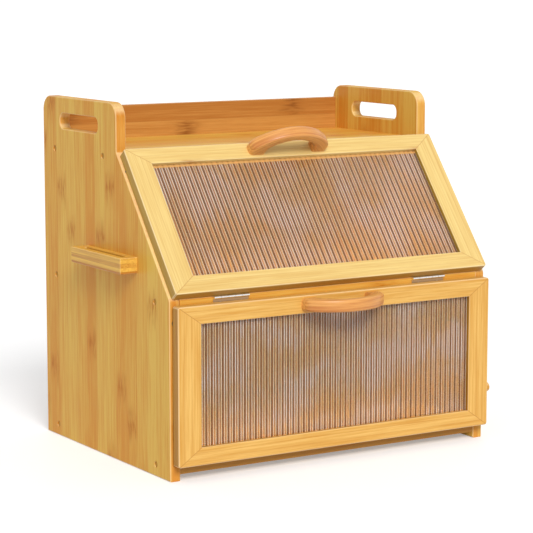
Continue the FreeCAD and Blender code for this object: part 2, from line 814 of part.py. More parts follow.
def stop_peg():
    """The peg across the rear of the runner's groove, on the right."""
    start = V(drawer_inner, drawer_rear - stop_peg_from_rear, runner_level + runner_height / 2)
    return rod(stop_peg_diameter, start, X_AXIS, drawer_side - stop_peg_inset)


def drawer_right_side():
    """The drawer's right side, with its grooves, dowel holes and stop peg hole."""
    shape = block(drawer_inner, drawer_outer, drawer_back_of_front, drawer_rear,
                  drawer_bottom_edge, drawer_top_edge)
    shape = round_edges(shape, drawer_box_edge,
                        lambda e: edge_spans(e, 2, drawer_top_edge, drawer_top_edge)
                        and e.Length > drawer_depth / 2)
    shape = shape.cut(drawer_groove())
    shape = shape.cut(block(drawer_outer - runner_groove_depth, drawer_outer + 1,
                            front + runner_setback - runner_groove_lead, rear,
                            runner_level - runner_play,
                            runner_level + runner_height + runner_play))
    for at in dowel_places:
        shape = shape.cut(drawer_dowel(at))
    shape = shape.cut(stop_peg())
    return drilled(shape, DRAWER_SCREW, back_joint_places, -X_AXIS)


def make_drawer_box(parts):
    """Sides, back and bottom behind the drawer front, and what joins them."""
    right = drawer_right_side()
    parts["drawer_right_side"] = right
    parts["drawer_left_side"] = mirrored(right)
    back = block(-drawer_inner, drawer_inner, drawer_rear - drawer_side, drawer_rear,
                 drawer_bottom_level + drawer_bottom_thickness, drawer_top_edge)
    back = round_edges(back, drawer_box_edge,
                       lambda e: edge_spans(e, 2, drawer_top_edge, drawer_top_edge)
                       and e.Length > drawer_inner)
    left_joints = [V(-at.x, at.y, at.z) for at in back_joint_places]
    back = drilled(back, DRAWER_SCREW, back_joint_places, -X_AXIS)
    back = drilled(back, DRAWER_SCREW, left_joints, X_AXIS)
    back = drilled(back, DRAWER_BOTTOM_SCREW, bottom_joint_places, Z_AXIS)
    parts["drawer_back"] = back
    reach = drawer_inner + drawer_groove_depth - drawer_bottom_play
    bottom = block(-reach, reach, drawer_back_of_front - front_groove_depth + drawer_bottom_play,
                   drawer_rear, drawer_bottom_level, drawer_bottom_level + drawer_bottom_thickness)
    parts["drawer_bottom"] = drilled(bottom, DRAWER_BOTTOM_SCREW, bottom_joint_places, Z_AXIS)

    right_dowels = [drawer_dowel(at) for at in dowel_places]
    parts["drawer_dowels"] = group(right_dowels + [mirrored(s) for s in right_dowels])
    parts["drawer_stop_pegs"] = group([stop_peg(), mirrored(stop_peg())])
    right_screws = [screw(DRAWER_SCREW, at, -X_AXIS) for at in back_joint_places]
    parts["drawer_back_screws"] = group(right_screws + [mirrored(s) for s in right_screws])
    parts["drawer_bottom_screws"] = group([screw(DRAWER_BOTTOM_SCREW, at, Z_AXIS)
                                           for at in bottom_joint_places])


def drawer_strike(x):
    """A steel disc in the back of the drawer front, a little proud, opposite a magnet."""
    start = V(x, drawer_back_of_front + catch_proud - strike_thickness, drawer_catch_height)
    return rod(catch_diameter, start, Y_AXIS, strike_thickness)


def make_drawer(parts):
    """The drawer: its glazed front and the box behind it."""
    make_front(parts, "drawer", drawer_front_width, drawer_front_height, drawer_front_rail,
               on_drawer)
    make_drawer_box(parts)
    parts["drawer_bottom_rail"] = parts["drawer_bottom_rail"].cut(drawer_groove())
    parts["drawer_strikes"] = group([drawer_strike(x) for x in (-catch_offset, catch_offset)])
    dowels = parts["drawer_dowels"]
    for side, x in (("left", -catch_offset), ("right", catch_offset)):
        name = "drawer_" + side + "_stile"
        stile = parts[name].cut(drawer_strike(x)).cut(drawer_groove())
        parts[name] = stile.cut(dowels)


# ---------------------------------------------------------------- build


def main():
    parts = {}
    make_carcass(parts)
    make_fittings(parts)
    make_hinges(parts)
    make_door(parts)
    make_drawer(parts)
    os.makedirs("parts", exist_ok=True)
    for name, shape in parts.items():
        shape.exportStep("parts/" + name + ".step")
        print(name, len(shape.Solids), round(shape.Volume, 1), shape.isValid())


main()
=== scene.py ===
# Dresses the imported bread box: bamboo, ribbed panes, plated steel, studio light and camera.
# Metres, in the CAD's frame: X to the right, -Y the front, Z up from the surface it stands on.
import json
import math

import bmesh
import bpy
from mathutils import Matrix, Vector

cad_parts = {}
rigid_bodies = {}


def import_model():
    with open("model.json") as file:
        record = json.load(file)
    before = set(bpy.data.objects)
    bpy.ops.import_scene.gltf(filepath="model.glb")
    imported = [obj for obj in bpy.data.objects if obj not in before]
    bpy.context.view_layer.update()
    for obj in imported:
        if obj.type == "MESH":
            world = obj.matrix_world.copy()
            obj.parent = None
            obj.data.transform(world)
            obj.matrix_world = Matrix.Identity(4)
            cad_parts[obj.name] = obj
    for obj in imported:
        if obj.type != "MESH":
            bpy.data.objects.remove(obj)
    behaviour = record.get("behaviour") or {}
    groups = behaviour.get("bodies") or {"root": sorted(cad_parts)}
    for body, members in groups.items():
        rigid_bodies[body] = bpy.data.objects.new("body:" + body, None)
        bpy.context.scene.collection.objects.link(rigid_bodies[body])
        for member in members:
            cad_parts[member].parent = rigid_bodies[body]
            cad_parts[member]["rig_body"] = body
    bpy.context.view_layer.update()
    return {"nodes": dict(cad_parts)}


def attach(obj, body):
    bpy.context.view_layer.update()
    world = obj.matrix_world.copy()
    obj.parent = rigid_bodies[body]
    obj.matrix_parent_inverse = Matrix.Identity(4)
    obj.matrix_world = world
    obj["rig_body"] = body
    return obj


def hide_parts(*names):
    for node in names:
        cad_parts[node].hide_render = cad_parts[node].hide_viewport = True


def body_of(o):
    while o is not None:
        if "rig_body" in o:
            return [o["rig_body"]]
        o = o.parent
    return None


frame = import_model()
nodes = frame["nodes"]
MM = 0.001

# ---------------------------------------------------------------- places shared with the CAD

panel_front = -125.25 * MM      # the side panels' upright front edges
slope_foot = 197.0 * MM         # height where the slope begins
slope_rise, slope_run = 149.0, 118.0
slope_tilt = math.atan2(slope_rise, slope_run)
door_up = 0.5 * MM              # the door's foot, from the slope's foot up the slope
door_out = 0.4 * MM             # the door's back, out from the slope
drawer_up = 17.3 * MM           # the drawer front's foot above the worktop
drawer_out = 2.0 * MM           # the drawer front's back, ahead of the panels
front_thickness = 12.0 * MM
hinge_axis = (-127.45 * MM, 196.4 * MM)     # y and z
barrel_radius = 2.0 * MM
barrel_fade = 0.3 * MM          # outside it, where bright steel turns into the leaves' dull tone of painted shade

slope_up = Vector((0, math.cos(slope_tilt), math.sin(slope_tilt)))
slope_out = Vector((0, -math.sin(slope_tilt), math.cos(slope_tilt)))
slope_start = Vector((0, panel_front, slope_foot))

# each front's flat frame: X across, Y up the front, Z outwards from its back face
door_place = (Matrix.Translation(slope_start + slope_up * door_up + slope_out * door_out)
              @ Matrix.Rotation(slope_tilt, 4, "X"))
drawer_place = (Matrix.Translation((0, panel_front - drawer_out, drawer_up))
                @ Matrix.Rotation(math.pi / 2, 4, "X"))

# each front's place, width, height and rail width, in mm
fronts = {"door": (door_place, 413.0, 186.0, 21.0),
          "drawer": (drawer_place, 413.6, 174.2, 20.0)}
stile_width = 28.5

# the bowed pulls
pull_half = 51.8 * MM           # half the length
pull_rise = 35.5 * MM           # height above the rail
pull_width = 14.0 * MM
pull_foot = 20.0 * MM           # length of each foot along the rail
pull_thickness = 11.0 * MM      # at the middle of the bow
pull_straight = 4.0 * MM        # upright part of each foot
pull_corner = 16.0 * MM         # radius where a foot turns into the bow, outside
pull_inner_corner = 14.0 * MM   # and inside
pull_edge = 2.9 * MM            # rounding of the upper edges at the middle
pull_edge_growth = 1.6 * MM     # how much rounder they are at the feet
pull_inner_edge = 2.6 * MM      # rounding of the lower edges
door_pull_along = 175.5 * MM    # the middle of the pull, up the front from its foot
drawer_pull_along = 164.2 * MM


def arch_drop(half, rise, straight, corner):
    """How far the centre of an arch's upper arc lies below its corners' centres."""
    crown = rise - straight
    return ((half - corner) ** 2 - (crown - corner) ** 2) / (2 * (crown - corner))


bow_centre = pull_straight - arch_drop(pull_half, pull_rise, pull_straight, pull_corner)
bow_radius = pull_rise - bow_centre

# ---------------------------------------------------------------- node helpers


class Tree:
    """A short way to write a node tree."""

    def __init__(self, tree):
        self.tree = tree

    def add(self, kind, inputs=(), **settings):
        """A node; inputs maps a socket's name or number to a value or to another socket."""
        made = self.tree.nodes.new(kind)
        for key, value in settings.items():
            setattr(made, key, value)
        for key, value in dict(inputs).items():
            if isinstance(value, bpy.types.NodeSocket):
                self.tree.links.new(value, made.inputs[key])
            else:
                made.inputs[key].default_value = value
        return made

    def math(self, operation, a, b=0.0, c=0.0, clamp=False):
        return self.add("ShaderNodeMath", {0: a, 1: b, 2: c},
                        operation=operation, use_clamp=clamp).outputs[0]

    def spread(self, value, low, high, start=0.0, end=1.0, smooth=False):
        """Maps low..high to start..end, held at both ends."""
        kind = "SMOOTHSTEP" if smooth else "LINEAR"
        return self.add("ShaderNodeMapRange", {"Value": value, "From Min": low, "From Max": high,
                                               "To Min": start, "To Max": end},
                        interpolation_type=kind).outputs[0]

    def mix(self, share, a, b, blend="MIX"):
        """Mixes two colours."""
        return self.add("ShaderNodeMix", {0: share, 6: a, 7: b},
                        data_type="RGBA", blend_type=blend).outputs[2]

    def xyz(self, x, y, z):
        return self.add("ShaderNodeCombineXYZ", {0: x, 1: y, 2: z}).outputs[0]

    def noise(self, place, scale, detail=2.0, rough=0.5):
        return self.add("ShaderNodeTexNoise", {"Vector": place, "Scale": scale, "Detail": detail,
                                               "Roughness": rough}).outputs[0]


def srgb(red, green, blue):
    """A colour given as it looks on screen, 0 to 255, as linear light."""
    def channel(value):
        value /= 255
        return value / 12.92 if value <= 0.04045 else ((value + 0.055) / 1.055) ** 2.4
    return (channel(red), channel(green), channel(blue), 1.0)


def new_material(name):
    """An empty material, its tree and its shader."""
    material = bpy.data.materials.new(name)
    material.use_nodes = True
    material.node_tree.nodes.clear()
    tree = Tree(material.node_tree)
    shader = tree.add("ShaderNodeBsdfPrincipled")
    tree.add("ShaderNodeOutputMaterial", {"Surface": shader.outputs[0]})
    return material, tree, shader


# ---------------------------------------------------------------- bamboo


knuckle_spacing = 0.31          # metres along a strip
knuckle_wander = 0.014          # how unevenly its fibres lie along the strip, in metres
knuckle_reach = (0.008, 0.032)  # the shortest and longest of its fibres, in metres
smear_share, line_share = 0.9, 0.6      # how much its fibres and its dark middle show
seam_reach = 0.35 * MM          # the dark line between strips, from its middle
pore_scale = 1150.0             # cut fibres per metre on a strip's end
joint_reach = (0.15 * MM, 0.5 * MM)     # a mitre's line: full up to the first, gone at the second


def bamboo_group():
    """Glued bamboo strips: u runs along them, v across them and w through the board."""
    group = bpy.data.node_groups.new("bamboo_strips", "ShaderNodeTree")
    for name, kind in (("Place", "Vector"), ("Grain", "Vector"), ("Strip", "Float"),
                       ("Layer", "Float"), ("Seed", "Float"), ("Pale", "Color"),
                       ("Deep", "Color"), ("Knuckle", "Color"), ("Contrast", "Float"),
                       ("Knuckles", "Float"), ("Fine", "Float"), ("Shade Amount", "Float"),
                       ("Side", "Color"), ("Streaks", "Float"), ("Rim Highlight", "Float"),
                       ("Pores", "Float"), ("Joint", "Float")):
        group.interface.new_socket(name, in_out="INPUT", socket_type="NodeSocket" + kind)
    for name, kind in (("Color", "Color"), ("Roughness", "Float"), ("Height", "Float")):
        group.interface.new_socket(name, in_out="OUTPUT", socket_type="NodeSocket" + kind)
    t = Tree(group)
    given = t.add("NodeGroupInput").outputs
    split = t.add("ShaderNodeSeparateXYZ", {0: given["Place"]}).outputs
    u, v, w = split[0], split[1], split[2]

    across = t.math("DIVIDE", v, given["Strip"])
    through = t.math("DIVIDE", w, given["Layer"])
    cell = t.xyz(t.math("FLOOR", across), t.math("FLOOR", through), given["Seed"])
    chance = t.add("ShaderNodeTexWhiteNoise", {"Vector": cell}, noise_dimensions="3D")
    tone = chance.outputs["Value"]
    spin = t.add("ShaderNodeSeparateColor", {0: chance.outputs["Color"]}).outputs
    own = t.math("MULTIPLY", tone, 37.0)

    fine_v = t.math("MULTIPLY_ADD", v, given["Fine"], own)
    fine_w = t.math("MULTIPLY", w, given["Fine"])

    def fibres(lengthwise, crosswise, detail, rough):
        """Noise drawn out along the strip, in cycles per metre along it and across it."""
        place = t.xyz(t.math("MULTIPLY", u, lengthwise), t.math("MULTIPLY", fine_v, crosswise),
                      t.math("MULTIPLY", fine_w, crosswise))
        return t.noise(place, 1.0, detail, rough)

    broad = fibres(5.0, 90.0, 3.0, 0.5)
    streak = fibres(12.0, 560.0, 3.0, 0.6)
    fibre = fibres(60.0, 2600.0, 2.0, 0.6)
    dash = fibres(70.0, 620.0, 1.0, 0.5)

    # one knuckle on each strip every so often: a band of short dark fibres of uneven length
    along = t.math("FRACT", t.math("MULTIPLY_ADD", u, 1 / knuckle_spacing, spin[0]))
    from_knuckle = t.math("MULTIPLY", t.math("SUBTRACT", along, 0.5), knuckle_spacing)
    from_knuckle = t.math("MULTIPLY_ADD", t.math("SUBTRACT", streak, 0.5), knuckle_wander,
                          from_knuckle)
    distance = t.math("ABSOLUTE", from_knuckle)
    reach = t.spread(streak, 0.35, 0.65, *knuckle_reach)
    smear = t.math("SUBTRACT", 1.0, t.math("DIVIDE", distance, reach), clamp=True)
    smear = t.math("MULTIPLY", smear, t.spread(dash, 0.38, 0.60, 0.30, 1.0))
    line = t.math("MULTIPLY", t.spread(distance, 0.0012, 0.0045, 1.0, 0.0, smooth=True),
                  t.spread(dash, 0.46, 0.60))
    shown = t.math("LESS_THAN", spin[1], given["Knuckles"])
    from_middle = t.math("ABSOLUTE", t.math("SUBTRACT", t.math("FRACT", across), 0.5))
    inside = t.spread(from_middle, 0.34, 0.48, 1.0, 0.3)
    knuckle = t.math("MULTIPLY", t.math("MULTIPLY", shown, inside), t.math(
        "MAXIMUM", t.math("MULTIPLY", smear, smear_share), t.math("MULTIPLY", line, line_share)))

    seam_start = t.math("SUBTRACT", 0.5, t.math("DIVIDE", seam_reach, given["Strip"]))
    seam = t.spread(from_middle, seam_start, 0.5)

    # 0 is the deep tone and 1 the pale one
    level = t.math("MULTIPLY_ADD", t.math("SUBTRACT", tone, 0.5), given["Contrast"], 0.5)
    level = t.math("MULTIPLY_ADD", t.math("SUBTRACT", broad, 0.5), 0.8, level)
    level = t.math("MULTIPLY_ADD", t.math("SUBTRACT", streak, 0.5), given["Streaks"], level)
    level = t.math("MULTIPLY_ADD", t.math("SUBTRACT", fibre, 0.5), 0.7, level, clamp=True)
    colour = t.mix(level, given["Deep"], given["Pale"])
    colour = t.mix(knuckle, colour, given["Knuckle"])
    colour = t.mix(t.math("MULTIPLY", seam, 0.35), colour, given["Knuckle"])

    # painted shade: the strips' sides are tinted darker than their faces, as where they turn from
    # the light
    facing = t.add("ShaderNodeSeparateXYZ", {0: given["Grain"]}).outputs
    side = t.spread(t.math("ABSOLUTE", facing[1]), 0.75, 0.95)
    side = t.math("MULTIPLY", side, given["Shade Amount"])
    colour = t.mix(side, colour, t.mix(1.0, colour, given["Side"], "MULTIPLY"))

    # painted highlight: rounded edges are painted paler, as where they catch the light
    flattest = t.math("MAXIMUM", t.math("ABSOLUTE", facing[0]), t.math("MAXIMUM", t.math(
        "ABSOLUTE", facing[1]), t.math("ABSOLUTE", facing[2])))
    painted_rim_highlight = t.math("MULTIPLY", t.spread(flattest, 0.985, 0.86), given["Rim Highlight"])
    colour = t.mix(painted_rim_highlight, colour, t.mix(0.5, given["Pale"], (1.0, 0.95, 0.80, 1)))

    # the ends of the strips show the cut fibres as small dark dots
    end = t.spread(t.math("ABSOLUTE", facing[0]), 0.6, 0.8)
    dots = t.add("ShaderNodeTexVoronoi", {"Vector": t.xyz(0.0, v, w),
                                          "Scale": pore_scale}).outputs[0]
    dark = t.math("MULTIPLY", t.spread(dots, 0.18, 0.42, 0.35, 0.0), end)
    dark = t.math("MULTIPLY", dark, given["Pores"])
    colour = t.mix(t.math("MULTIPLY", end, 0.08), colour, given["Knuckle"])
    colour = t.mix(dark, colour, given["Knuckle"])
    colour = t.mix(t.math("MULTIPLY", given["Joint"], 0.6), colour, given["Knuckle"])

    rough = t.math("MULTIPLY_ADD", streak, 0.16, 0.30)
    rough = t.math("MULTIPLY_ADD", end, 0.15, rough)
    height = t.math("MULTIPLY_ADD", fibre, 0.4, t.math("MULTIPLY", streak, 0.6))
    height = t.math("SUBTRACT", height, t.math("MULTIPLY", seam, 0.8))
    height = t.math("SUBTRACT", height, t.math("MULTIPLY", dark, 0.6))
    t.add("NodeGroupOutput", {"Color": colour, "Roughness": rough, "Height": height})
    return group


strips = bamboo_group()

# each kind of bamboo: pale, deep and knuckle tone
PANEL = (srgb(230, 188, 89), srgb(218, 150, 55), srgb(190, 109, 4))
# painted sheen: the door's tones are paler than the drawer's, for the light its upward slope
# catches
DOOR_LIT = (srgb(231, 202, 130), srgb(214, 175, 101), srgb(178, 117, 54))
DRAWER = (srgb(230, 184, 102), srgb(208, 150, 64), srgb(172, 106, 42))
HOLDER = (srgb(238, 190, 82), srgb(190, 122, 40), srgb(152, 90, 30))
PULL = (srgb(238, 176, 96), srgb(194, 119, 52), srgb(150, 82, 36))
INSIDE = (srgb(222, 174, 100), srgb(196, 140, 70), srgb(156, 100, 48))
# painted shade: the back board is painted darker than the inside boards
BACK_IN_SHADE = (srgb(206, 150, 78), srgb(176, 114, 50), srgb(138, 82, 32))
# painted shade: the plugs are darker than the panels, as the shade in their shallow recesses
PLUG_IN_SHADE = (srgb(204, 156, 70), srgb(172, 122, 46), srgb(120, 78, 28))
# painted shade: what the strips' sides multiply the colour of their faces by
STRIP_SIDE_SHADE = (0.64, 0.54, 0.22, 1)
PANEL_SIDE_SHADE = (0.93, 0.86, 1.0, 1)
LOW_SIDE_SHADE = (0.62, 0.48, 0.55, 1)


def bamboo(name, along, across, colours, strip=24.0, layer=40.0, seed=0.0, contrast=0.9,
           knuckles=0.6, tilt=0.0, shift=(0.0, 0.0, 0.0), coat=0.0, gloss=0.12, fine=1.0,
           edge=0.0, side=STRIP_SIDE_SHADE, streaks=1.5, rim_highlight=0.3, pores=1.0, bent=False, mitred=None):
    """Bamboo whose strips run along one axis and lie side by side along another, in mm.

    Tilt and shift put the origin and the axes on the piece. Contrast sets how far the strips
    differ, knuckles how many of them have knuckles, fine how narrow the fibres are, streaks how
    strong they are, edge how much painted shade from the side tint the strips' sides take,
    rim_highlight how pale a painted highlight makes the rounded edges, and pores how dark the
    cut ends' dots are.
    Where it is bent, the strips follow circles about the Y axis through the shifted origin.
    A mitred frame, given by its width and height and its stiles' and rails' width, shows the
    thin dark lines of its corners; the shift puts the origin at the middle of its foot.
    """
    material, t, shader = new_material(name)
    coordinates = t.add("ShaderNodeTexCoord").outputs
    turn = {"Rotation": (-tilt, 0, 0), "Location": shift}
    place = t.add("ShaderNodeMapping", {"Vector": coordinates["Object"], **turn}).outputs[0]
    facing = t.add("ShaderNodeMapping", {"Vector": coordinates["Normal"],
                                         "Rotation": (-tilt, 0, 0)}, vector_type="VECTOR")
    parts = t.add("ShaderNodeSeparateXYZ", {0: place}).outputs
    if bent:
        out = t.math("SQRT", t.math("MULTIPLY_ADD", parts[0], parts[0],
                                    t.math("MULTIPLY", parts[2], parts[2])))
        angle = t.math("ARCTAN2", parts[0], parts[2])
        ordered = (t.xyz(t.math("MULTIPLY", angle, bow_radius), out, parts[1]),
                   t.xyz(0.0, 0.0, 1.0))
    else:
        third = ({"X", "Y", "Z"} - {along, across}).pop()
        order = ["XYZ".index(axis) for axis in (along, across, third)]
        faces = t.add("ShaderNodeSeparateXYZ", {0: facing.outputs[0]}).outputs
        ordered = (t.xyz(*[parts[i] for i in order]), t.xyz(*[faces[i] for i in order]))
    wood = t.add("ShaderNodeGroup", node_tree=strips)
    t.tree.links.new(ordered[0], wood.inputs["Place"])
    t.tree.links.new(ordered[1], wood.inputs["Grain"])
    for key, value in (("Strip", strip * MM), ("Layer", layer * MM), ("Seed", seed),
                       ("Pale", colours[0]), ("Deep", colours[1]), ("Knuckle", colours[2]),
                       ("Contrast", contrast), ("Knuckles", knuckles), ("Fine", fine),
                       ("Shade Amount", edge), ("Side", side), ("Streaks", streaks), ("Rim Highlight", rim_highlight),
                       ("Pores", pores)):
        wood.inputs[key].default_value = value
    if mitred:
        width, height, stile, rail = (size * MM for size in mitred)
        slant = math.hypot(rail, stile)
        from_side = t.math("SUBTRACT", width / 2, t.math("ABSOLUTE", parts[0]))
        from_end = t.math("MINIMUM", parts[1], t.math("SUBTRACT", height, parts[1]))
        off = t.math("SUBTRACT", t.math("MULTIPLY", from_side, rail / slant),
                     t.math("MULTIPLY", from_end, stile / slant))
        joint = t.spread(t.math("ABSOLUTE", off), *joint_reach, 1.0, 0.0)
        t.tree.links.new(joint, wood.inputs["Joint"])
    bump = t.add("ShaderNodeBump", {"Height": wood.outputs["Height"], "Strength": 0.35,
                                    "Distance": 0.00025})
    links = t.tree.links
    links.new(wood.outputs["Color"], shader.inputs["Base Color"])
    links.new(wood.outputs["Roughness"], shader.inputs["Roughness"])
    links.new(bump.outputs[0], shader.inputs["Normal"])
    shader.inputs["Specular IOR Level"].default_value = gloss
    shader.inputs["Coat Weight"].default_value = coat
    shader.inputs["Coat Roughness"].default_value = 0.28
    return material


def paint(node_names, material):
    """Gives CAD nodes a material."""
    for name in node_names:
        data = nodes[name].data
        data.materials.clear()
        data.materials.append(material)


def on_front(place, along, out):
    """Mapping that puts a shader's origin at a point of a front, in that front's directions."""
    inverse = place.to_3x3().inverted()
    return tuple(-(inverse @ (place @ Vector((0, along, out)))))


# the panels' seeds decide which of their strips are light and dark
side_bamboo = {side: bamboo("bamboo_%s_panel" % side, "Z", "Y", PANEL, seed=seed,
                            shift=(0.1, 0.0035, 0.0), contrast=1.1, fine=0.6,
                            streaks=2.7, knuckles=0.75, edge=1.0, side=PANEL_SIDE_SHADE, rim_highlight=0.4)
               for side, seed in (("left", 11058.0), ("right", 8.0))}
board_look = {"seed": 5.0, "fine": 0.7, "streaks": 2.0}
board_bamboo = bamboo("bamboo_boards", "X", "Y", PANEL, **board_look)
low_bamboo = bamboo("bamboo_bottom_board", "X", "Y", PANEL, edge=1.0, side=LOW_SIDE_SHADE,
                    **board_look)
# the frames' rounded edges get a painted highlight
frame_look = {"contrast": 0.3, "knuckles": 0.06, "coat": 0.05, "gloss": 0.25, "streaks": 2.5,
              "fine": 0.85, "rim_highlight": 0.42}
rail_bamboo = {}
stile_bamboo = {}
for part, colours, seed in (("door", DOOR_LIT, 11.0), ("drawer", DRAWER, 14.0)):
    place, width, height, rail = fronts[part]
    look = dict(frame_look, tilt=place.to_euler().x, shift=on_front(place, 0, 0),
                mitred=(width, height, stile_width, rail))
    # painted shade on the bottom rails' edge faces and on the stiles' sides, none on the top
    # rails'
    for end, edge in (("top", 0.0), ("bottom", 0.8)):
        rail_bamboo[part, end] = bamboo("bamboo_%s_%s_rail" % (part, end), "X", "Y", colours,
                                        strip=7.0, seed=seed, edge=edge, **look)
    stile_bamboo[part] = bamboo("bamboo_%s_stiles" % part, "Y", "X", colours, strip=9.5,
                                seed=seed + 1, edge=1.0, **look)
pull_bamboo = {}
for part, rail_middle in (("door", door_pull_along), ("drawer", drawer_pull_along)):
    place = fronts[part][0]
    centre = on_front(place, rail_middle, front_thickness + bow_centre)
    pull_bamboo[part] = bamboo("bamboo_%s_pull" % part, "X", "Z", PULL, strip=7.0, seed=21.0,
                               contrast=0.6, knuckles=0.0, tilt=place.to_euler().x, shift=centre,
                               fine=0.8, coat=0.2, gloss=0.45, streaks=2.2, rim_highlight=0.0, bent=True)
holder_bamboo = bamboo("bamboo_holder", "Y", "Z", HOLDER, strip=4.4, seed=33.0, contrast=1.3,
                       knuckles=0.0, shift=(0.0, 0.0, -0.0004), fine=0.8, gloss=0.3, pores=0.3)
inner_bamboo = bamboo("bamboo_inside", "Y", "Z", INSIDE, strip=24.0, seed=41.0)
thin_bamboo = bamboo("bamboo_thin_board", "X", "Z", INSIDE, strip=26.0, seed=42.0)
shaded_back_bamboo = bamboo("bamboo_back_in_shade", "X", "Z", BACK_IN_SHADE, strip=26.0, seed=42.0, knuckles=0.4)
peg_bamboo = bamboo("bamboo_pegs", "X", "Y", DRAWER, strip=6.0, seed=43.0)
shaded_plug_bamboo = bamboo("bamboo_plugs_in_shade", "Z", "Y", PLUG_IN_SHADE, strip=9.0, seed=44.0)

for side in ("left", "right"):
    paint([side + "_side_panel"], side_bamboo[side])
paint(["top_shelf", "middle_shelf"], board_bamboo)
paint(["bottom_board"], low_bamboo)
for part in ("door", "drawer"):
    for end in ("top", "bottom"):
        paint(["%s_%s_rail" % (part, end)], rail_bamboo[part, end])
    paint([part + "_left_stile", part + "_right_stile"], stile_bamboo[part])
paint(["knife_holder"], holder_bamboo)
paint(["drawer_left_side", "drawer_right_side", "left_drawer_runner", "right_drawer_runner"],
      inner_bamboo)
paint(["drawer_back", "drawer_bottom"], thin_bamboo)
paint(["back_panel"], shaded_back_bamboo)
paint(["side_peg", "drawer_dowels", "drawer_stop_pegs"], peg_bamboo)
paint(["screw_plugs"], shaded_plug_bamboo)

# ---------------------------------------------------------------- steel


def steel(name, colour, rough, shaded_leaf_tone=None):
    """Plated steel with fine marks; a hinge's leaves get a duller, browner tone than its barrel:
    painted shade and a painted reflection of the wood.
    """
    material, t, shader = new_material(name)
    place = t.add("ShaderNodeTexCoord").outputs["Object"]
    marks = t.noise(place, 900.0, 3.0)
    roughness = t.spread(marks, 0.3, 0.7, rough * 0.8, rough * 1.3)
    shade = t.mix(t.spread(marks, 0.35, 0.65, 0.0, 0.15), colour, (0.35, 0.33, 0.30, 1))
    # painted shade and reflection: away from the barrel the leaves take a dull brown tone
    if shaded_leaf_tone:
        off_axis = t.add("ShaderNodeVectorMath", {0: place, 1: (0, *hinge_axis)},
                         operation="SUBTRACT").outputs[0]
        off_axis = t.add("ShaderNodeVectorMath", {0: off_axis, 1: (0, 1, 1)},
                         operation="MULTIPLY").outputs[0]
        away = t.add("ShaderNodeVectorMath", {0: off_axis}, operation="LENGTH").outputs["Value"]
        flat = t.spread(away, barrel_radius, barrel_radius + barrel_fade)
        shade = t.mix(flat, shade, shaded_leaf_tone)
        roughness = t.math("MULTIPLY_ADD", flat, 0.22, roughness)
    t.tree.links.new(shade, shader.inputs["Base Color"])
    t.tree.links.new(roughness, shader.inputs["Roughness"])
    shader.inputs["Metallic"].default_value = 1.0
    return material


hinge_steel = steel("hinge_steel", srgb(240, 239, 236), 0.2, shaded_leaf_tone=srgb(190, 164, 132))
screw_steel = steel("screw_steel", srgb(200, 198, 192), 0.3)
magnet_nickel = steel("magnet_nickel", srgb(120, 116, 110), 0.3)
for name in nodes:
    if name.endswith("screws"):
        paint([name], screw_steel)
    elif name.endswith("magnets") or name.endswith("strikes"):
        paint([name], magnet_nickel)
    elif "hinge" in name:
        paint([name], hinge_steel)

# ---------------------------------------------------------------- ribbed panes

rib_count = 53
rib_steps = 12                  # points on the line of one rib
pane_width = 367.2 * MM         # the door's; the drawer's is 0.6 mm wider
pane_sheet = 2.0 * MM
rib_height = 1.2 * MM
rib_crease = math.radians(38)   # a steeper fold is a sharp edge
pane_back = 4.2 * MM            # above the front's back face
groove_reach = 5.6 * MM         # how far a pane goes into the frame on each side
rail_reflection_reach = (1.2 * MM, 0.6 * MM)       # from nothing to all of the rail's painted reflection, below the top rail
highlight_at, highlight_half = 0.25, 0.085        # a rib's painted highlight lines, in ribs from its middle
valley_start, valley_full = 0.31, 0.39
rib_shift = 0.016               # how far a rib moves its patches of light at most, in metres
patch_scale, patch_squash = 13.0, 1.6   # patches of light per metre, and more of them upwards

# painted light: what the ribs show, in warm and in cool light, with painted highlight lines and
# painted shade in the valleys
warm_crown, cool_crown = (0.86, 0.60, 0.26, 1), (0.74, 0.57, 0.39, 1)
warm_highlight, cool_highlight = (1.0, 0.83, 0.50, 1), (1.0, 0.94, 0.86, 1)
valley_shade = (0.24, 0.09, 0.02, 1)
rail_reflection = (0.74, 0.42, 0.14, 1)
shadow_tint = (0.93, 0.90, 0.88, 1)


